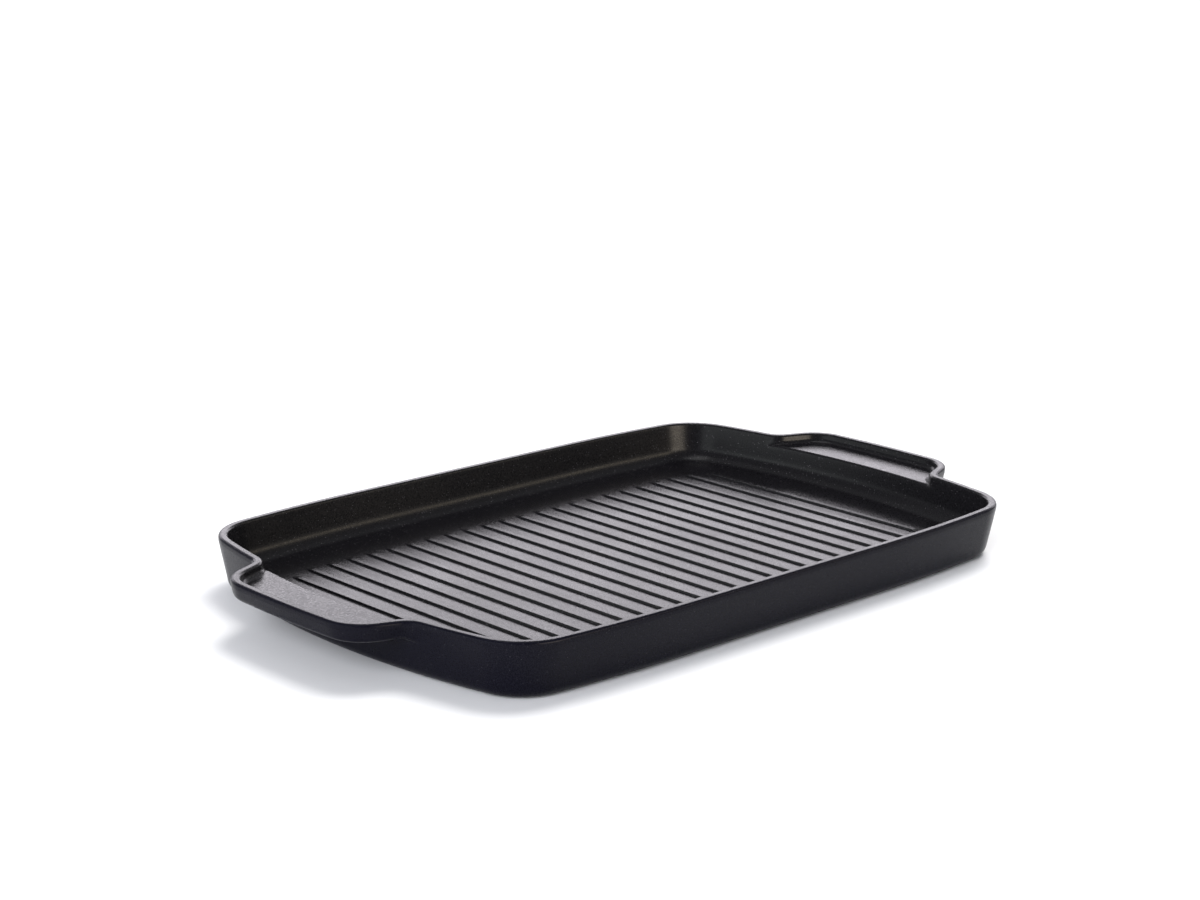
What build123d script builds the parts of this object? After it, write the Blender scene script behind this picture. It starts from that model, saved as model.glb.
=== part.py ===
# Long ribbed grill pan, cast in one piece with a tray-shaped handle at each end,
# and the magnetic plate pressed into its underside.
# Millimetres. The pan lies along X with a handle at each end, and stands on z = 0.
from build123d import *
from math import asin, atan2, cos, degrees, radians, sin, sqrt, tan
import os

# The rim, measured over the casting without its handles
rim_length = 370.0
rim_width = 244.0
pan_height = 28.0
wall_thickness = 4.4
rim_band_height = 2.8
rim_rounding = 1.4

# The plan of the rim: the long sides are straight in the middle and bow in towards the corners,
# and each short side is one long bow
long_side_straight = 140.0
long_side_bow_radius = 760.0
short_side_bow_radius = 414.0
corner_radius = 31.0
shortest_edge = 0.05

# The walls and the floor
wall_draft = 11.0
base_edge_radius = 6.0
floor_thickness = 7.4
floor_fillet = 9.0

# The handles: shallow trays that open into the pan over a crest
handle_reach = 24.0
handle_tip_width = 94.0
handle_root_width = 112.0
handle_tip_bow = 1.6
handle_corner_radius = 21.5
handle_root_radius = 9.0
handle_thickness = 4.2
handle_edge_radius = 3.0
tray_depth = 4.9
tray_fillet = 3.0
crest_rounding = 1.5

# The ribs
rib_count = 24
rib_pitch = 12.58
rib_height = 1.0
rib_base_width = 3.9
rib_top_width = 3.2
rib_edge_radius = 0.4
rib_field_width = 170.0
rib_field_margin = 9.0
rib_field_corner = 28.0
rib_run_out = 6.0

# The induction plate, flush in the underside, held by metal cast through its holes
plate_length = 300.0
plate_width = 180.0
plate_corner_radius = 24.0
plate_thickness = 0.8
plate_clearance = 0.15
hole_diameter = 7.0
hole_clearance = 0.1
hole_pitch = 18.0
hole_margin = 9.0

half_length = rim_length / 2
half_width = rim_width / 2
band_foot = pan_height - rim_band_height
tray_floor = pan_height - tray_depth
handle_underside = tray_floor - handle_thickness
tub_top = handle_underside + handle_edge_radius
well_top = tray_floor + tray_fillet


class Bend:
    """A round stretch of an outline, turning from one outward direction to the next.

    A stretch that curves the hollow way has a radius below zero.
    """

    def __init__(self, centre, radius, first, last):
        self.centre = centre
        self.radius = radius
        self.first = first
        self.last = last

    def point(self, outward, inset):
        """The point that faces an outward direction, once the outline is drawn in by an inset."""
        return self.centre + outward * (self.radius - inset)


def where_arcs_meet(centre, reach, other_centre, other_reach):
    """The place at a reach from each of two centres, left of the way from the first to the second."""
    gap = other_centre - centre
    along = (gap.length**2 + reach**2 - other_reach**2) / (2 * gap.length)
    ahead = gap.normalized()
    aside = Vector(-ahead.Y, ahead.X)
    return centre + ahead * along + aside * sqrt(reach**2 - along**2)


def where_line_meets_arc(start, ahead, centre, reach):
    """The place at a reach from a centre, on the line from a start."""
    foot = start - centre
    along = foot.dot(ahead)
    return start + ahead * (sqrt(along**2 - foot.length**2 + reach**2) - along)


def pan_bends():
    """The bends of one quarter of the pan without its handles, from the middle of the short side."""
    end_centre = Vector(half_length - short_side_bow_radius, 0)
    side_centre = Vector(long_side_straight / 2, half_width - long_side_bow_radius)
    corner = where_arcs_meet(
        end_centre,
        short_side_bow_radius - corner_radius,
        side_centre,
        long_side_bow_radius - corner_radius,
    )
    into_corner = (corner - end_centre).normalized()
    out_of_corner = (corner - side_centre).normalized()
    return [
        Bend(end_centre, short_side_bow_radius, Vector(1, 0), into_corner),
        Bend(corner, corner_radius, into_corner, out_of_corner),
        Bend(side_centre, long_side_bow_radius, out_of_corner, Vector(0, 1)),
    ]


def whole_bends():
    """The bends of one quarter of the pan with its handle, from the middle of the handle's tip."""
    end_bow, corner, side_bow = pan_bends()
    tip = Vector(half_length + handle_reach, 0)
    tip_end = tip + Vector(-handle_tip_bow, handle_tip_width / 2)
    root = Vector(half_length, handle_root_width / 2)
    tip_radius = (handle_tip_width**2 / 4 + handle_tip_bow**2) / (2 * handle_tip_bow)
    tip_centre = tip - Vector(tip_radius, 0)

    # the side of the handle runs from its root out to its tip, and has to hold half of each turn
    side = tip_end - root
    forward = side.normalized()
    outward = Vector(-forward.Y, forward.X)
    half_turn = (radians(90) - asin(outward.X)) / 2
    room = side.length / ((handle_corner_radius + handle_root_radius) * tan(half_turn))
    tip_turn_radius = handle_corner_radius * min(1.0, room)
    root_turn_radius = handle_root_radius * min(1.0, room)
    tip_turn = where_line_meets_arc(
        tip_end - outward * tip_turn_radius, forward, tip_centre, tip_radius - tip_turn_radius
    )
    root_turn = where_line_meets_arc(
        tip_end + outward * root_turn_radius, forward, end_bow.centre, end_bow.radius + root_turn_radius
    )
    into_turn = (tip_turn - tip_centre).normalized()
    out_of_root = (root_turn - end_bow.centre).normalized()
    return [
        Bend(tip_centre, tip_radius, Vector(1, 0), into_turn),
        Bend(tip_turn, tip_turn_radius, into_turn, outward),
        Bend(root_turn, -root_turn_radius, outward, out_of_root),
        Bend(end_bow.centre, end_bow.radius, out_of_root, end_bow.last),
        corner,
        side_bow,
    ]


def outline(bends, inset):
    """The face inside one quarter's bends, mirrored to all four quarters and drawn in by an inset."""
    middle = bends[0].point(bends[0].first, inset)
    stop = bends[0].point(bends[0].last, inset)
    edges = []
    for end in (1, -1):
        edges.append(ThreePointArc((end * stop.X, -stop.Y), (end * middle.X, 0), (end * stop.X, stop.Y)))
        for side in (1, -1):
            here = stop
            for bend in bends[1:]:
                start = bend.point(bend.first, inset)
                midway = bend.point((bend.first + bend.last).normalized(), inset)
                if (start - here).length > shortest_edge:
                    edges.append(Line((end * here.X, side * here.Y), (end * start.X, side * start.Y)))
                here = bend.point(bend.last, inset)
                edges.append(
                    ThreePointArc(
                        (end * start.X, side * start.Y),
                        (end * midway.X, side * midway.Y),
                        (end * here.X, side * here.Y),
                    )
                )
    for side in (1, -1):
        edges.append(Line((-here.X, side * here.Y), (here.X, side * here.Y)))
    return make_face(edges)


def pan_plan(inset):
    """The outline of the pan without its handles, drawn in from the rim by an inset."""
    return outline(pan_bends(), inset)


def whole_plan(inset):
    """The outline of the pan with both handles, drawn in from the rim by an inset."""
    return outline(whole_bends(), inset)


def lean(height):
    """How far a wall comes in over a height."""
    return height * tan(radians(wall_draft))


def rounded_slab(plan, top, bottom, radius):
    """A slab under a plan, with drafted sides that turn in to its flat underside in a round."""
    slab = extrude(Pos(0, 0, top) * plan, amount=top - bottom, dir=(0, 0, -1), taper=wall_draft)
    return fillet(slab.edges().group_by(Axis.Z)[0], radius)


def outer_casting():
    """The pan and its handles as if filled to the rim."""
    tub = rounded_slab(pan_plan(lean(band_foot - tub_top)), tub_top, 0, base_edge_radius)
    slab = rounded_slab(whole_plan(0), band_foot, handle_underside, handle_edge_radius)
    band = extrude(Pos(0, 0, band_foot) * whole_plan(0), amount=rim_band_height)
    return tub + slab + band


def hollow():
    """The inside of the pan and of both trays."""
    well_inset = wall_thickness + lean(pan_height - well_top)
    well = rounded_slab(pan_plan(well_inset), well_top, floor_thickness, floor_fillet)
    return well + rounded_slab(whole_plan(wall_thickness), pan_height, tray_floor, tray_fillet)


def crest_corner():
    """What a rounding takes off the edge where the floor of the right tray drops into the pan."""
    end_bow = pan_bends()[0]
    root_turn = whole_bends()[2]
    draft = radians(wall_draft)
    halfway = (draft + radians(90)) / 2
    side_x = end_bow.centre.X + end_bow.radius - wall_thickness
    centre_z = tray_floor - crest_rounding
    centre_x = side_x - lean(pan_height - centre_z) + crest_rounding / cos(draft)
    beyond_x = centre_x - 2 * crest_rounding
    above_z = tray_floor + crest_rounding
    on_flat = (centre_x, 0, tray_floor)
    on_round = (centre_x - crest_rounding * cos(halfway), 0, centre_z + crest_rounding * sin(halfway))
    on_wall = (centre_x - crest_rounding * cos(draft), 0, centre_z + crest_rounding * sin(draft))
    corner = make_face(
        [
            ThreePointArc(on_flat, on_round, on_wall),
            Polyline(on_wall, (beyond_x, 0, centre_z), (beyond_x, 0, above_z), (centre_x, 0, above_z)),
            Line((centre_x, 0, above_z), on_flat),
        ]
    )

    # the corner is swept along the crest, as far as the flat of the tray's floor reaches
    flat_inset = wall_thickness + lean(tray_depth) + tray_fillet
    crest_reach = side_x - lean(tray_depth) - end_bow.centre.X
    stop = where_arcs_meet(root_turn.centre, flat_inset - root_turn.radius, end_bow.centre, crest_reach)
    half_sweep = degrees(atan2(stop.Y, stop.X - end_bow.centre.X))
    axis = Axis((end_bow.centre.X, 0, 0), (0, 0, 1))
    return revolve(corner.rotate(axis, -half_sweep), axis, 2 * half_sweep)


def rib(length):
    """One rib along Y, standing on z = 0, with its ends running out into the floor."""
    foot = Rectangle(rib_base_width, length)
    crown = Pos(0, 0, rib_height) * Rectangle(rib_top_width, length - 2 * rib_run_out)
    bar = loft([foot, crown], ruled=True)
    return fillet(bar.edges().group_by(Axis.Z)[-1], rib_edge_radius)


def ribs():
    """All the ribs, the outer ones shorter where the corners of the floor are round."""
    field_half_length = rib_pitch * (rib_count - 1) / 2 + rib_field_margin
    bars = []
    for index in range(rib_count):
        x = rib_pitch * (index - (rib_count - 1) / 2)
        into_corner = max(0.0, abs(x) - (field_half_length - rib_field_corner))
        shorter = rib_field_corner - sqrt(rib_field_corner**2 - into_corner**2)
        bars.append(Pos(x, 0, floor_thickness) * rib(rib_field_width - 2 * shorter))
    return bars


def hole_places():
    """The centres of the holes in the induction plate, in even rows."""
    across = int((plate_length - 2 * hole_margin - hole_diameter) // hole_pitch) + 1
    down = int((plate_width - 2 * hole_margin - hole_diameter) // hole_pitch) + 1
    return GridLocations(hole_pitch, hole_pitch, across, down)


def plate_plan(clearance):
    """The outline of the induction plate, or of its seat with a clearance all round."""
    return RectangleRounded(
        plate_length + 2 * clearance, plate_width + 2 * clearance, plate_corner_radius + clearance
    )


def seat():
    """The recess for the induction plate, less the metal that fills the plate's holes."""
    pips = hole_places() * Circle(hole_diameter / 2 - hole_clearance)
    return extrude(plate_plan(plate_clearance) - pips, amount=plate_thickness)


def make_pan_body():
    casting = outer_casting() - hollow()
    rim = casting.edges().group_by(Axis.Z)[-1]
    casting = fillet(rim, rim_rounding)
    crest = crest_corner()
    casting = casting - crest - mirror(crest, Plane.YZ)
    casting = casting + ribs()
    return casting - seat()


def make_induction_plate():
    holes = hole_places() * Circle(hole_diameter / 2)
    return extrude(plate_plan(0) - holes, amount=plate_thickness)


os.makedirs("parts", exist_ok=True)
export_step(make_pan_body(), "parts/pan_body.step")
export_step(make_induction_plate(), "parts/induction_plate.step")
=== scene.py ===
# Grill pan: one dark coated casting with raised ribs, a thick rim and a tray at each end,
# and a steel plate pressed into its underside
from math import atan2, cos, pi, radians, sin, sqrt, tan

import bmesh
import bpy
import numpy as np
from mathutils import Matrix, Vector


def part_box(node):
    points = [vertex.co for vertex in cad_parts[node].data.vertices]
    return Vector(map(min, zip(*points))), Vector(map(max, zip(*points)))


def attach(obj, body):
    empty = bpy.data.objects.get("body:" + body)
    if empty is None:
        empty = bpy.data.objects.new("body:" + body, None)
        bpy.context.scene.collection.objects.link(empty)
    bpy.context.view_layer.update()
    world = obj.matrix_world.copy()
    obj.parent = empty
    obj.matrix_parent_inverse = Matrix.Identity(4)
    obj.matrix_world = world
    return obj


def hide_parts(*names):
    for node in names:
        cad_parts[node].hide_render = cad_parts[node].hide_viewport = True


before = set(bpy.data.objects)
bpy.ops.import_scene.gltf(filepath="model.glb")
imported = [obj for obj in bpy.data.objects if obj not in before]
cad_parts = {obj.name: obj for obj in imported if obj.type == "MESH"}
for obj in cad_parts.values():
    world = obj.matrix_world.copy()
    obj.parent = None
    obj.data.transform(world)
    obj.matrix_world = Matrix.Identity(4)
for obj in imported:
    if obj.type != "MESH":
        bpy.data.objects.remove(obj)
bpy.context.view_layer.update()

mm = 0.001  # the sizes in the dictionaries are in millimetres
bodyLow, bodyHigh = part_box("pan_body")
plateLow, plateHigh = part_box("induction_plate")

# the pan body: its plan, its walls and its rim
panBody = {
    "length": (bodyHigh.x - bodyLow.x) / mm,  # over both handles
    "width": (bodyHigh.y - bodyLow.y) / mm,
    "height": (bodyHigh.z - bodyLow.z) / mm,
    "sideStraight": 140.0,  # the straight middle of a long side
    "sideBow": 760.0,
    "endBow": 414.0,
    "cornerRadius": 31.0,
    "wall": 4.4,
    "draftAngle": 11.0,
    "bandHeight": 2.8,  # the upright band under the rim
    "rimRound": 1.4,
    "baseRound": 6.0,
    "floor": 7.4,
    "floorRound": 9.0,
    "wallLevels": (22.6, 24.2),  # heights of the rings between the handles' underside and the band
    "bandStep": (0.25, 0.15),  # how far below and above its foot the step into the band lies
    "baseMargin": 1.2,  # from the base round to the first ring on the flat underside
    "floorMargin": 1.5,  # from the floor round to the first ring on the flat floor
}

# the handles: trays that open into the pan over a crest
handle = {
    "reach": 24.0,
    "tipWidth": 94.0,
    "rootWidth": 112.0,
    "tipBow": 1.6,
    "tipRadius": 21.5,
    "rootRadius": 9.0,
    "thickness": 4.2,
    "underRound": 3.0,
    "trayDepth": 4.9,
    "trayRound": 3.0,
    "crestRound": 1.5,
    "webRound": 1.8,  # where the underside grows out of the wall
    "blend": 8.0,  # how far a handle stands out before it has its full section
}

endways, sideways = np.array([1.0, 0.0]), np.array([0.0, 1.0])
draft = radians(panBody["draftAngle"])
lean = tan(draft)
halfLength = panBody["length"] / 2 - handle["reach"]
halfWidth = panBody["width"] / 2
rimTop = panBody["height"]
bandFoot = rimTop - panBody["bandHeight"]
trayFloor = rimTop - handle["trayDepth"]
handleUnder = trayFloor - handle["thickness"]


def unit(vector):
    return vector / np.hypot(*vector)


def whereArcsMeet(centre, reach, otherCentre, otherReach):
    gap = otherCentre - centre
    apart = np.hypot(*gap)
    along = (apart**2 + reach**2 - otherReach**2) / (2 * apart)
    ahead = gap / apart
    aside = np.array([-ahead[1], ahead[0]])
    return centre + ahead * along + aside * sqrt(reach**2 - along**2)


def whereLineMeetsArc(start, ahead, centre, reach):
    foot = start - centre
    along = foot @ ahead
    return start + ahead * (sqrt(along**2 - foot @ foot + reach**2) - along)


# a bend is a centre, a radius (below zero where it is hollow), its first and last outward directions
def panBends():
    endBow, sideBow, radius = panBody["endBow"], panBody["sideBow"], panBody["cornerRadius"]
    endCentre = np.array([halfLength - endBow, 0.0])
    sideCentre = np.array([panBody["sideStraight"] / 2, halfWidth - sideBow])
    corner = whereArcsMeet(endCentre, endBow - radius, sideCentre, sideBow - radius)
    intoCorner = unit(corner - endCentre)
    outOfCorner = unit(corner - sideCentre)
    return [
        (endCentre, endBow, endways, intoCorner),
        (corner, radius, intoCorner, outOfCorner),
        (sideCentre, sideBow, outOfCorner, sideways),
    ]


def handleBends():
    endBow = panBends()[0]
    tip = np.array([halfLength + handle["reach"], 0.0])
    tipEnd = tip + np.array([-handle["tipBow"], handle["tipWidth"] / 2])
    root = np.array([halfLength, handle["rootWidth"] / 2])
    tipBow = (handle["tipWidth"] ** 2 / 4 + handle["tipBow"] ** 2) / (2 * handle["tipBow"])
    tipCentre = tip - np.array([tipBow, 0.0])
    forward = unit(tipEnd - root)
    outward = np.array([-forward[1], forward[0]])
    tipTurn = whereLineMeetsArc(
        tipEnd - outward * handle["tipRadius"], forward, tipCentre, tipBow - handle["tipRadius"]
    )
    rootTurn = whereLineMeetsArc(
        tipEnd + outward * handle["rootRadius"], forward, endBow[0], endBow[1] + handle["rootRadius"]
    )
    outOfRoot = unit(rootTurn - endBow[0])
    return [
        (tipCentre, tipBow, endways, unit(tipTurn - tipCentre)),
        (tipTurn, handle["tipRadius"], unit(tipTurn - tipCentre), outward),
        (rootTurn, -handle["rootRadius"], outward, outOfRoot),
    ], outOfRoot


def bendPoints(bend, count):
    centre, radius, first, last = bend
    start, stop = atan2(first[1], first[0]), atan2(last[1], last[0])
    angles = np.linspace(start, stop, count + 1)
    outward = np.c_[np.cos(angles), np.sin(angles)]
    return centre + radius * outward, outward


# one quarter of the plan from the middle of a short side to the middle of a long side,
# once with the handle and once without, with the same number of points
spacing = {
    "tipBow": 12, "tipTurn": 14, "side": 5, "rootTurn": 12,
    "endBow": 12, "corner": 16, "sideBow": 18, "straight": 10,
}


def joinStretches(stretches):
    points, outwards = [stretches[0][0]], [stretches[0][1]]
    for place, outward in stretches[1:]:
        points.append(place[1:])
        outwards.append(outward[1:])
    return np.concatenate(points), np.concatenate(outwards)


def straightPoints(start, stop, outward, count):
    share = np.linspace(0, 1, count + 1)[:, None]
    return start + share * (stop - start), np.repeat(outward[None], count + 1, axis=0)


def quarterPlans():
    endBow, corner, sideBow = panBends()
    (tipBow, tipTurn, rootTurn), outOfRoot = handleBends()
    tip = bendPoints(tipBow, spacing["tipBow"])
    turn = bendPoints(tipTurn, spacing["tipTurn"])
    root = bendPoints(rootTurn, spacing["rootTurn"])
    side = straightPoints(turn[0][-1], root[0][0], tipTurn[3], spacing["side"])
    shared = [
        bendPoints((endBow[0], endBow[1], outOfRoot, endBow[3]), spacing["endBow"]),
        bendPoints(corner, spacing["corner"]),
        bendPoints(sideBow, spacing["sideBow"]),
    ]
    last = shared[-1][0][-1]
    shared.append(straightPoints(last, last * sideways, sideways, spacing["straight"]))
    withHandle = joinStretches([tip, turn, side, root])

    # without the handle, the same points spread along the bow of the short side
    steps = np.hypot(*np.diff(withHandle[0], axis=0).T)
    share = np.concatenate([[0.0], np.cumsum(steps)]) / steps.sum()
    angles = share * atan2(outOfRoot[1], outOfRoot[0])
    outward = np.c_[np.cos(angles), np.sin(angles)]
    without = (endBow[0] + endBow[1] * outward, outward)
    return joinStretches([withHandle] + shared), joinStretches([without] + shared)


wholePlan, panPlan = quarterPlans()


def ringOf(plan, inset, z):
    points, outward = plan
    return np.c_[points - inset * outward, np.full(len(points), z)]


def wallInset(z):  # the outer face of the wall
    return (bandFoot - z) * lean


def innerInset(z):  # the inner face of the wall
    return panBody["wall"] + (rimTop - z) * lean


def smooth(share):
    share = np.clip(share, 0, 1)
    return share * share * (3 - 2 * share)


def arcSteps(first, last, count):
    return np.linspace(first, last, count + 1)


# a round whose centre sits inside a drafted wall: the angle turns from the flat to the wall
def roundSection(insetAt, flat, radius, angles):
    centreZ = flat + radius
    centre = insetAt(centreZ) + radius / cos(draft)
    return [(centre - radius * sin(a), centreZ - radius * cos(a)) for a in angles]


def outerHandle():  # under a handle: web, flat underside, round, side
    quarter = radians(90) - draft
    web = handle["webRound"]
    centreZ = handleUnder - web
    centre = wallInset(centreZ) - web / cos(draft)
    rings = []
    for a in arcSteps(0, quarter, 4):
        rings.append(ringOf(panPlan, centre + web * cos(a + draft), centreZ + web * sin(a + draft)))
    edge = roundSection(wallInset, handleUnder, handle["underRound"], arcSteps(0, quarter, 7))
    near = rings[-1]
    far = ringOf(wholePlan, *edge[0])
    for share in arcSteps(0, 1, 6)[1:-1]:
        rings.append(near + share * (far - near))
    for inset, z in edge:
        rings.append(ringOf(wholePlan, inset, z))
    return rings, near, far


def innerHandle():  # inside a tray: side, round, flat floor, crest
    quarter = radians(90) - draft
    trayRound = roundSection(innerInset, trayFloor, handle["trayRound"], arcSteps(quarter, 0, 7))
    rings = [ringOf(wholePlan, inset, z) for inset, z in trayRound]
    far = rings[-1]
    crest = handle["crestRound"]
    centreZ = trayFloor - crest
    centre = innerInset(centreZ) - crest / cos(draft)
    crestRings = []
    for a in arcSteps(0, quarter, 5):
        crestRings.append(ringOf(panPlan, centre + crest * sin(a), centreZ + crest * cos(a)))
    near = crestRings[0]
    for share in arcSteps(0, 1, 6)[1:-1]:
        rings.append(far + share * (near - far))
    return rings + crestRings, near, far


# where the handle hardly stands out, its section eases into the plain wall
def easeIntoWall(rings, near, far):
    first, last = rings[0], rings[-1]
    gap = far[:, :2] - near[:, :2]
    outward = panPlan[1]
    standsOut = (gap * outward).sum(axis=1)
    full = smooth(standsOut / handle["blend"])[:, None]
    eased = []
    for index, ring in enumerate(rings):
        straight = first + (last - first) * index / (len(rings) - 1)
        eased.append(straight + full * (ring - straight))
    return eased


def wallRings(insetAt, start, stop):  # three rings spread between two heights on a drafted wall
    return [ringOf(panPlan, insetAt(z), z) for z in np.linspace(start, stop, 5)[1:-1]]


def outerRings():  # from the flat underside up to the top of the rim
    quarter = radians(90) - draft
    base = roundSection(wallInset, 0, panBody["baseRound"], arcSteps(0, quarter, 8))
    under, nearUnder, farUnder = outerHandle()
    rim = panBody["rimRound"]
    rings = [ringOf(panPlan, base[0][0] + panBody["baseMargin"], 0)]
    rings += [ringOf(panPlan, inset, z) for inset, z in base]
    rings += wallRings(wallInset, base[-1][1], under[0][0, 2])
    rings += easeIntoWall(under, nearUnder, farUnder)
    stepBelow, stepAbove = panBody["bandStep"]
    for z in (*panBody["wallLevels"], bandFoot - stepBelow):
        rings.append(ringOf(wholePlan, wallInset(z), z))
    for z in (bandFoot + stepAbove, (bandFoot + rimTop - rim) / 2):
        rings.append(ringOf(wholePlan, 0, z))
    for a in arcSteps(0, radians(90), 6):
        rings.append(ringOf(wholePlan, rim - rim * cos(a), rimTop - rim + rim * sin(a)))
    return rings


def innerRings():  # from the top of the rim down to the flat of the floor
    quarter = radians(90) - draft
    rim = panBody["rimRound"]
    centre = innerInset(rimTop - rim) - rim / cos(draft)
    rings = []
    for a in arcSteps(0, quarter, 6):
        rings.append(ringOf(wholePlan, centre + rim * sin(a), rimTop - rim + rim * cos(a)))
    tray, nearTray, farTray = innerHandle()
    rings += easeIntoWall(tray, nearTray, farTray)
    floor = roundSection(innerInset, panBody["floor"], panBody["floorRound"], arcSteps(quarter, 0, 10))
    rings += wallRings(innerInset, tray[-1][0, 2], floor[0][1])
    rings += [ringOf(panPlan, inset, z) for inset, z in floor]
    rings.append(ringOf(panPlan, floor[-1][0] + panBody["floorMargin"], panBody["floor"]))
    return rings


# a quarter ring mirrored round to a closed loop
def wholeLoop(ring):
    away = ring * [-1, 1, 1]
    half = np.concatenate([ring, away[::-1][1:]])
    return np.concatenate([half, (half * [1, -1, 1])[::-1][1:-1]])


# the ribs stand on the floor, each running out into it at both ends
ribs = {
    "count": 24,
    "pitch": 12.58,
    "height": 1.0,
    "baseWidth": 3.9,
    "topWidth": 3.2,
    "topRound": 0.4,
    "footRound": 0.3,
    "fieldWidth": 170.0,
    "fieldMargin": 9.0,
    "fieldCorner": 28.0,
    "runOut": 6.0,
    "runOutSteps": 8,
    "middleSteps": 8,
    "flatShare": 0.6,  # where the extra column on a rib's top lies, as a share of the flat
    "besideRib": 0.5,  # from a rib's foot to the first column on the floor
    "beyondEnds": 1.5,  # from the ends of the ribs to the last row
    "leastStep": 0.12,  # rows nearer together than this become one
}


def ribSection():  # half of a rib, from its middle to the flat beside it
    height, halfTop, halfBase = ribs["height"], ribs["topWidth"] / 2, ribs["baseWidth"] / 2
    slope = atan2(height, halfBase - halfTop)
    topTangent = ribs["topRound"] * tan(slope / 2)
    footTangent = ribs["footRound"] * tan(slope / 2)
    section = [(0, height), ((halfTop - topTangent) * ribs["flatShare"], height)]
    for a in arcSteps(0, slope, 4):
        section.append(
            (halfTop - topTangent + ribs["topRound"] * sin(a), height - ribs["topRound"] * (1 - cos(a)))
        )
    for a in arcSteps(slope, 0, 4):
        section.append(
            (halfBase + footTangent - ribs["footRound"] * sin(a), ribs["footRound"] * (1 - cos(a)))
        )
    section.append((halfBase + footTangent + ribs["besideRib"], 0))
    return section


def ribField():
    half = ribSection()
    pitch, count = ribs["pitch"], ribs["count"]
    offsets = [-x for x, z in half[:0:-1]] + [x for x, z in half]
    heights = [z for x, z in half[:0:-1]] + [z for x, z in half]
    fieldHalf = pitch * (count - 1) / 2 + ribs["fieldMargin"]
    columns, profile, reach = [], [], []
    for index in range(count):
        middle = pitch * (index - (count - 1) / 2)
        intoCorner = max(0.0, abs(middle) - (fieldHalf - ribs["fieldCorner"]))
        shorter = ribs["fieldCorner"] - sqrt(ribs["fieldCorner"] ** 2 - intoCorner**2)
        columns += [middle + x for x in offsets]
        profile += heights
        reach += [ribs["fieldWidth"] / 2 - shorter] * len(offsets)
    ends = sorted(set(np.round(reach, 6)))
    rows = set()
    for end in ends:
        rows |= set(np.round(end - ribs["runOut"] * arcSteps(0, 1, ribs["runOutSteps"]), 4))
    rows |= set(np.round(arcSteps(0, ends[0] - ribs["runOut"], ribs["middleSteps"]), 4))
    rows.add(round(ends[-1] + ribs["beyondEnds"], 4))
    rows = np.array(sorted(rows))
    keep = np.concatenate([[True], np.diff(rows) > ribs["leastStep"]])
    rows = rows[keep]
    rows = np.concatenate([-rows[:0:-1], rows])
    runOut = smooth((np.array(reach)[None] - np.abs(rows)[:, None]) / ribs["runOut"])
    z = panBody["floor"] + runOut * np.array(profile)[None]
    x = np.repeat(np.array(columns)[None], len(rows), axis=0)
    y = np.repeat(rows[:, None], len(columns), axis=1)
    return np.stack([x, y, z], axis=2)


# the seat for the plate, with round pips of the casting's own metal filling the plate's holes
seat = {
    "cornerRadius": 24.15,
    "clearance": 0.15,
    "cornerSteps": 8,
    "holeDiameter": 7.0,
    "holeClearance": 0.1,
    "holePitch": 18.0,
    "holeMargin": 9.0,
    "pipSides": 28,
    "pipRoot": 0.4,  # how far a pip reaches into the casting
}


def seatOutline():
    halfX = (plateHigh.x - plateLow.x) / 2 / mm + seat["clearance"]
    halfY = (plateHigh.y - plateLow.y) / 2 / mm + seat["clearance"]
    radius = seat["cornerRadius"]
    points = []
    for turn, (endX, endY) in enumerate([(1, 1), (-1, 1), (-1, -1), (1, -1)]):
        centre = (endX * (halfX - radius), endY * (halfY - radius))
        for a in arcSteps(radians(90) * turn, radians(90) * (turn + 1), seat["cornerSteps"]):
            points.append((centre[0] + radius * cos(a), centre[1] + radius * sin(a)))
    return np.array(points)


def pipPlaces():
    places = []
    length = (plateHigh.x - plateLow.x) / mm
    width = (plateHigh.y - plateLow.y) / mm
    spare = 2 * seat["holeMargin"] + seat["holeDiameter"]
    across = int((length - spare) // seat["holePitch"]) + 1
    down = int((width - spare) // seat["holePitch"]) + 1
    for column in range(across):
        for row in range(down):
            place = (column - (across - 1) / 2, row - (down - 1) / 2)
            places.append((place[0] * seat["holePitch"], place[1] * seat["holePitch"]))
    return places


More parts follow.
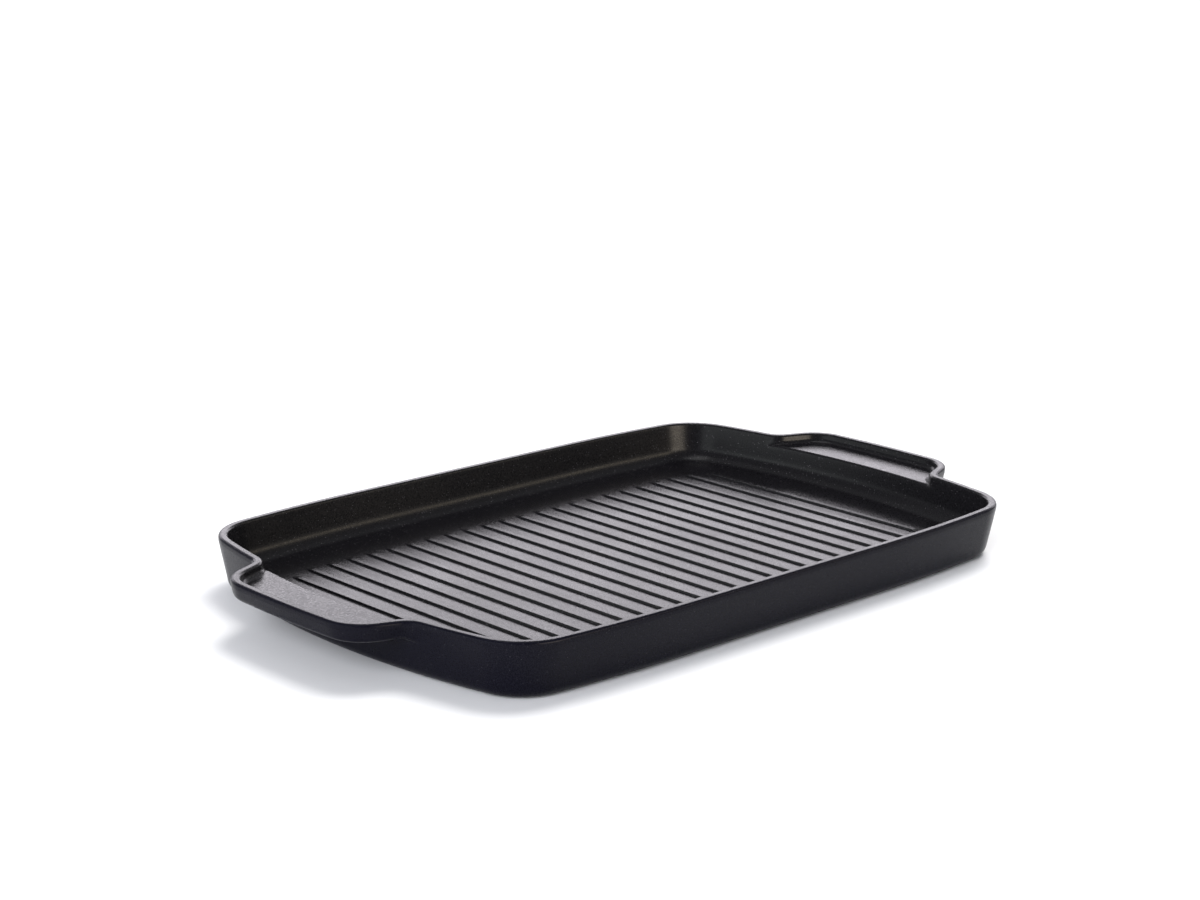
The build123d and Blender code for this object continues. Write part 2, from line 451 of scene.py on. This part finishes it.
def buildPanBody():
    bm = bmesh.new()
    inside, outside, bareMetal = 0, 1, 2

    def addLoop(points):
        return [bm.verts.new(Vector(point) * mm) for point in points]

    def bridge(lower, upper, material=inside):
        for i in range(len(lower)):
            j = (i + 1) % len(lower)
            face = bm.faces.new((lower[i], lower[j], upper[j], upper[i]))
            face.material_index = material

    def fillBetween(outer, inner, normal, material=inside):
        edges = []
        for loop in (outer, inner):
            for i in range(len(loop)):
                pair = (loop[i - 1], loop[i])
                edges.append(bm.edges.get(pair) or bm.edges.new(pair))
        made = bmesh.ops.triangle_fill(bm, use_beauty=True, edges=edges, normal=normal)
        for face in made["geom"]:
            if isinstance(face, bmesh.types.BMFace):
                face.material_index = material
                if face.normal.dot(Vector(normal)) < 0:
                    face.normal_flip()

    outer, inner = outerRings(), innerRings()
    loops = [addLoop(wholeLoop(ring)) for ring in outer + inner]
    for index, (lower, upper) in enumerate(zip(loops, loops[1:])):
        bridge(lower, upper, outside if index < len(outer) - 1 else inside)

    # the floor: a grid that follows the ribs, and the flat between it and the walls
    grid = ribField()
    rows, columns = grid.shape[:2]
    verts = [[bm.verts.new(Vector(grid[r, c]) * mm) for c in range(columns)] for r in range(rows)]
    for r in range(rows - 1):
        for c in range(columns - 1):
            bm.faces.new((verts[r][c], verts[r][c + 1], verts[r + 1][c + 1], verts[r + 1][c]))
    border = verts[0][:-1] + [row[-1] for row in verts[:-1]]
    border += verts[-1][:0:-1] + [row[0] for row in verts[:0:-1]]
    fillBetween(loops[-1], border, (0, 0, 1))

    # the underside: machined flat round the seat, and the seat itself
    outline = seatOutline()
    mouth = addLoop(np.c_[outline, np.zeros(len(outline))])
    deep = addLoop(np.c_[outline, np.full(len(outline), plateHigh.z / mm)])
    fillBetween(loops[0], mouth, (0, 0, -1), bareMetal)
    bridge(deep, mouth, bareMetal)
    roof = bm.faces.new(deep[::-1])
    roof.material_index = bareMetal
    radius = seat["holeDiameter"] / 2 - seat["holeClearance"]
    angles = np.linspace(0, 2 * pi, seat["pipSides"], endpoint=False)
    for x, y in pipPlaces():
        ring = np.c_[x + radius * np.cos(angles), y + radius * np.sin(angles)]
        foot = addLoop(np.c_[ring, np.zeros(len(ring))])
        head = addLoop(np.c_[ring, np.full(len(ring), plateHigh.z / mm + seat["pipRoot"])])
        bridge(foot, head, bareMetal)
        for face in (bm.faces.new(foot[::-1]), bm.faces.new(head)):
            face.material_index = bareMetal

    mesh = bpy.data.meshes.new("panBody")
    bm.normal_update()
    bm.to_mesh(mesh)
    bm.free()
    mesh.polygons.foreach_set("use_smooth", [True] * len(mesh.polygons))
    mesh.set_sharp_from_angle(angle=radians(40))  # only the machined edges underneath stay sharp
    piece = bpy.data.objects.new("panBody", mesh)
    bpy.context.scene.collection.objects.link(piece)
    weighted = piece.modifiers.new("evenNormals", "WEIGHTED_NORMAL")
    weighted.keep_sharp = True
    return piece


print("shaping the pan body")
panPiece = buildPanBody()
print("pan body faces", len(panPiece.data.polygons))

print("mixing the finishes")


def newMaterial(name):
    material = bpy.data.materials.new(name)
    material.use_nodes = True
    tree = material.node_tree
    tree.nodes.clear()
    output = tree.nodes.new("ShaderNodeOutputMaterial")
    shader = tree.nodes.new("ShaderNodeBsdfPrincipled")
    tree.links.new(shader.outputs["BSDF"], output.inputs["Surface"])
    place = tree.nodes.new("ShaderNodeTexCoord")
    return material, tree, shader, place.outputs["Object"]


def noise(tree, place, scale, detail, roughness=0.5):
    node = tree.nodes.new("ShaderNodeTexNoise")
    node.inputs["Scale"].default_value = scale
    node.inputs["Detail"].default_value = detail
    node.inputs["Roughness"].default_value = roughness
    tree.links.new(place, node.inputs["Vector"])
    return node.outputs["Fac"]


def spread(tree, value, low, high, newLow, newHigh):  # stretches a value from one range to another
    node = tree.nodes.new("ShaderNodeMapRange")
    ends = {"From Min": low, "From Max": high, "To Min": newLow, "To Max": newHigh}
    for name, number in ends.items():
        node.inputs[name].default_value = number
    tree.links.new(value, node.inputs["Value"])
    return node.outputs["Result"]


def combine(tree, kind, first, second):
    node = tree.nodes.new("ShaderNodeMath")
    node.operation = kind
    for socket, value in zip(node.inputs, (first, second)):
        if isinstance(value, (int, float)):
            socket.default_value = value
        else:
            tree.links.new(value, socket)
    return node.outputs[0]


def mixColours(tree, share, first, second):
    node = tree.nodes.new("ShaderNodeMix")
    node.data_type = "RGBA"
    tree.links.new(share, node.inputs["Factor"])
    for socket, colour in ((node.inputs[6], first), (node.inputs[7], second)):
        if isinstance(colour, tuple):
            socket.default_value = (*colour, 1)
        else:
            tree.links.new(colour, socket)
    return node.outputs[2]


def bump(tree, shader, height, depth, strength):  # the depth is in metres
    node = tree.nodes.new("ShaderNodeBump")
    node.inputs["Distance"].default_value = depth
    node.inputs["Strength"].default_value = strength
    tree.links.new(height, node.inputs["Height"])
    tree.links.new(node.outputs["Normal"], shader.inputs["Normal"])


# the parts of a noise's range that are stretched over the whole of a finish
noiseRange = (0.3, 0.7)
grainRange = (0.35, 0.7)
mottleRange = (0.35, 0.65)

# a dark non-stick coat inside with a fine grain and a few flakes, and a smoother one outside
innerCoat = {
    "colour": (0.0018, 0.0016, 0.0022),
    "paleColour": (0.0048, 0.0043, 0.0058),
    "flakeColour": (0.060, 0.056, 0.060),
    "specular": 0.20,
    "roughness": 0.30,
    "roughSpread": 0.08,
    "grainDepth": 0.00005,
    "grainStrength": 0.3,
    "grainScale": 1100,  # per metre
    "flakeScale": 1400,
    "flakeShare": 0.05,
    "flakeSize": 0.33,
    "cloudScale": 28,
    "cloudSpread": 0.02,
}
outerCoat = {
    "colour": (0.0020, 0.0019, 0.0046),
    "paleColour": (0.0050, 0.0047, 0.0096),
    "flakeColour": (0.026, 0.025, 0.030),
    "specular": 0.085,
    "roughness": 0.28,
    "roughSpread": 0.04,
    "grainDepth": 0.00003,
    "grainStrength": 0.35,
    "grainScale": 1900,
    "flakeScale": 1400,
    "flakeShare": 0.03,
    "flakeSize": 0.33,
    "cloudScale": 20,
    "cloudSpread": 0.02,
}


def darkCoat(name, coat):
    material, tree, shader, place = newMaterial(name)
    grain = noise(tree, place, coat["grainScale"], 3, 0.6)
    cloud = noise(tree, place, coat["cloudScale"], 4)
    cells = tree.nodes.new("ShaderNodeTexVoronoi")
    cells.inputs["Scale"].default_value = coat["flakeScale"]
    tree.links.new(place, cells.inputs["Vector"])
    pick = tree.nodes.new("ShaderNodeSeparateColor")
    tree.links.new(cells.outputs["Color"], pick.inputs["Color"])
    chosen = combine(tree, "LESS_THAN", pick.outputs["Red"], coat["flakeShare"])
    small = combine(tree, "LESS_THAN", cells.outputs["Distance"], coat["flakeSize"])
    flake = combine(tree, "MULTIPLY", chosen, small)
    body = mixColours(tree, spread(tree, grain, *grainRange, 0, 1), coat["colour"], coat["paleColour"])
    tree.links.new(mixColours(tree, flake, body, coat["flakeColour"]), shader.inputs["Base Color"])
    low, high = coat["roughness"] - coat["roughSpread"], coat["roughness"] + coat["roughSpread"]
    fine = spread(tree, grain, *noiseRange, low, high)
    broad = spread(tree, cloud, *noiseRange, -coat["cloudSpread"], coat["cloudSpread"])
    tree.links.new(combine(tree, "ADD", fine, broad), shader.inputs["Roughness"])
    shader.inputs["Specular IOR Level"].default_value = coat["specular"]
    bump(tree, shader, grain, coat["grainDepth"], coat["grainStrength"])
    return material


# bare aluminium, faced off on the underside
facedMetal = {
    "colour": (0.60, 0.60, 0.61),
    "darkColour": (0.48, 0.48, 0.49),
    "mottleScale": 60,
    "roughRange": (0.25, 0.38),
    "lineScale": 900,
    "lineWaver": 0.6,
    "lineDepth": 0.00001,
    "lineStrength": 0.4,
}


def bareAluminium():
    material, tree, shader, place = newMaterial("bareAluminium")
    rings = tree.nodes.new("ShaderNodeTexWave")
    rings.wave_type = "RINGS"
    rings.rings_direction = "Z"
    rings.inputs["Scale"].default_value = facedMetal["lineScale"]
    rings.inputs["Distortion"].default_value = facedMetal["lineWaver"]
    tree.links.new(place, rings.inputs["Vector"])
    mottle = spread(tree, noise(tree, place, facedMetal["mottleScale"], 4), *mottleRange, 0, 1)
    colour = mixColours(tree, mottle, facedMetal["colour"], facedMetal["darkColour"])
    tree.links.new(colour, shader.inputs["Base Color"])
    shader.inputs["Metallic"].default_value = 1.0
    rough = spread(tree, rings.outputs["Fac"], 0, 1, *facedMetal["roughRange"])
    tree.links.new(rough, shader.inputs["Roughness"])
    bump(tree, shader, rings.outputs["Fac"], facedMetal["lineDepth"], facedMetal["lineStrength"])
    return material


# satin stainless steel
plateFinish = {
    "colour": (0.50, 0.50, 0.51),
    "darkColour": (0.40, 0.40, 0.41),
    "mottleScale": 35,
    "roughRange": (0.22, 0.38),
    "lineScale": 60,
    "stretch": 60,  # how much finer the lines are across the brushing than along it
    "lineDepth": 0.00001,
    "lineStrength": 0.5,
}


def brushedSteel():
    material, tree, shader, place = newMaterial("brushedSteel")
    mapping = tree.nodes.new("ShaderNodeMapping")
    mapping.inputs["Scale"].default_value = (1, plateFinish["stretch"], 1)
    tree.links.new(place, mapping.inputs["Vector"])
    lines = noise(tree, mapping.outputs["Vector"], plateFinish["lineScale"], 6, 0.65)
    mottle = spread(tree, noise(tree, place, plateFinish["mottleScale"], 3), *mottleRange, 0, 1)
    colour = mixColours(tree, mottle, plateFinish["colour"], plateFinish["darkColour"])
    tree.links.new(colour, shader.inputs["Base Color"])
    shader.inputs["Metallic"].default_value = 1.0
    rough = spread(tree, lines, *noiseRange, *plateFinish["roughRange"])
    tree.links.new(rough, shader.inputs["Roughness"])
    bump(tree, shader, lines, plateFinish["lineDepth"], plateFinish["lineStrength"])
    return material


panPiece.data.materials.append(darkCoat("innerCoat", innerCoat))
panPiece.data.materials.append(darkCoat("outerCoat", outerCoat))
panPiece.data.materials.append(bareAluminium())
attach(panPiece, "root")
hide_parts("pan_body")

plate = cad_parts["induction_plate"]
plate.data.materials.clear()
plate.data.materials.append(brushedSteel())

print("setting the stage")
stage = {
    "size": 18.0,
    "below": 0.0002,  # how far the floor lies under the pan, so that the two never flicker
    "colour": (0.86, 0.86, 0.865),
    "darkShare": 0.985,
    "roughness": 0.6,
    "specular": 0.2,
}


def paleFloor():
    bm = bmesh.new()
    bmesh.ops.create_grid(bm, x_segments=8, y_segments=8, size=stage["size"] / 2)
    mesh = bpy.data.meshes.new("paleFloor")
    bm.to_mesh(mesh)
    bm.free()
    floor = bpy.data.objects.new("paleFloor", mesh)
    bpy.context.scene.collection.objects.link(floor)
    floor.location.z = -stage["below"]
    material, tree, shader, place = newMaterial("paleFloorPaint")
    darker = tuple(stage["darkShare"] * channel for channel in stage["colour"])
    colour = mixColours(tree, noise(tree, place, 3, 2), stage["colour"], darker)
    tree.links.new(colour, shader.inputs["Base Color"])
    shader.inputs["Roughness"].default_value = stage["roughness"]
    shader.inputs["Specular IOR Level"].default_value = stage["specular"]
    mesh.materials.append(material)


# soft boxes: where each stands from the pan in degrees round and above, how far, how large, how bright
softboxes = {
    "backSoftbox": {
        "round": 136, "above": 18.5, "away": 2.2,
        "width": 4.0, "height": 0.56, "watts": 29, "colour": (1.0, 0.955, 1.03),
    },
    "topSoftbox": {
        "round": 175, "above": 80, "away": 1.8,
        "width": 1.1, "height": 0.9, "watts": 7, "colour": (1.0, 0.99, 1.0),
    },
    "warmCard": {
        "round": 4, "above": 15, "away": 1.7,
        "width": 1.1, "height": 0.75, "watts": 20, "colour": (1.0, 0.88, 0.72),
    },
    "warmStrip": {
        "round": 42, "above": 27, "away": 1.7,
        "width": 1.1, "height": 0.3, "watts": 4, "colour": (1.0, 0.86, 0.66),
    },
    "coolCard": {
        "round": -100, "above": 14, "away": 1.7,
        "width": 2.2, "height": 0.7, "watts": 9, "colour": (0.93, 1.0, 0.98),
    },
}
# broad lights for the floor alone, which leave no mirror image in the coat
floorLights = {
    "keyLight": {
        "round": 112, "above": 58, "spread": 30, "strength": 2.6, "colour": (1.0, 0.99, 0.97),
    },
    "fillLight": {
        "round": -72, "above": 24, "spread": 50, "strength": 3.5, "colour": (0.95, 0.97, 1.03),
    },
}
world = {"colour": (0.94, 0.95, 0.98), "strength": 0.43}


def fromPan(turn, rise):  # the way out from the pan, turned round and above in degrees
    turn, rise = radians(turn), radians(rise)
    return Vector((sin(turn) * cos(rise), -cos(turn) * cos(rise), sin(rise)))


def hangLight(name, data, setting, distance):
    data.color = setting["colour"]
    light = bpy.data.objects.new(name, data)
    bpy.context.scene.collection.objects.link(light)
    away = fromPan(setting["round"], setting["above"])
    light.location = away * distance
    light.rotation_mode = "QUATERNION"
    light.rotation_quaternion = away.to_track_quat("Z", "Y")
    return light


def softLight(name, setting):
    data = bpy.data.lights.new(name, "AREA")
    data.shape = "RECTANGLE"
    data.size, data.size_y = setting["width"], setting["height"]
    data.energy = setting["watts"]
    light = hangLight(name, data, setting, setting["away"])
    light.visible_diffuse = False  # seen in the coat only, so that the shadows stay short


def floorLight(name, setting):
    data = bpy.data.lights.new(name, "SUN")
    data.energy = setting["strength"]
    data.angle = radians(setting["spread"])
    light = hangLight(name, data, setting, 2)
    light.visible_glossy = False


def studioWorld():
    studio = bpy.data.worlds.new("studio")
    bpy.context.scene.world = studio
    studio.use_nodes = True
    background = studio.node_tree.nodes["Background"]
    background.inputs["Color"].default_value = (*world["colour"], 1)
    background.inputs["Strength"].default_value = world["strength"]


paleFloor()
for name, setting in softboxes.items():
    softLight(name, setting)
for name, setting in floorLights.items():
    floorLight(name, setting)
studioWorld()

# the camera, turned round and above the pan, for a picture of 1200 by 900
camera = {
    "round": -43.745,
    "above": 14.795,
    "roll": 0.704,
    "away": 1.1812,
    "aside": -0.00926,
    "over": 0.05953,
    "focal": 2336.0,  # in pixels
    "pictureWidth": 1200.0,
    "sensor": 36.0,
    "nearest": 0.01,
    "farthest": 30,
}


def placeCamera():
    data = bpy.data.cameras.new("camera")
    view = bpy.data.objects.new("camera", data)
    bpy.context.scene.collection.objects.link(view)
    turn, roll = radians(camera["round"]), radians(camera["roll"])
    back = fromPan(camera["round"], camera["above"])
    level = Vector((cos(turn), sin(turn), 0))
    upright = back.cross(level)
    right = level * cos(roll) + upright * sin(roll)
    up = upright * cos(roll) - level * sin(roll)
    place = right * camera["aside"] + up * camera["over"] + back * camera["away"]
    turned = Matrix((right, up, back)).transposed()
    view.matrix_world = Matrix.Translation(place) @ turned.to_4x4()
    data.sensor_width = camera["sensor"]
    data.lens = camera["focal"] / camera["pictureWidth"] * camera["sensor"]
    data.clip_start, data.clip_end = camera["nearest"], camera["farthest"]
    bpy.context.scene.camera = view


print("placing the camera")
placeCamera()
bpy.context.scene.view_settings.view_transform = "Standard"
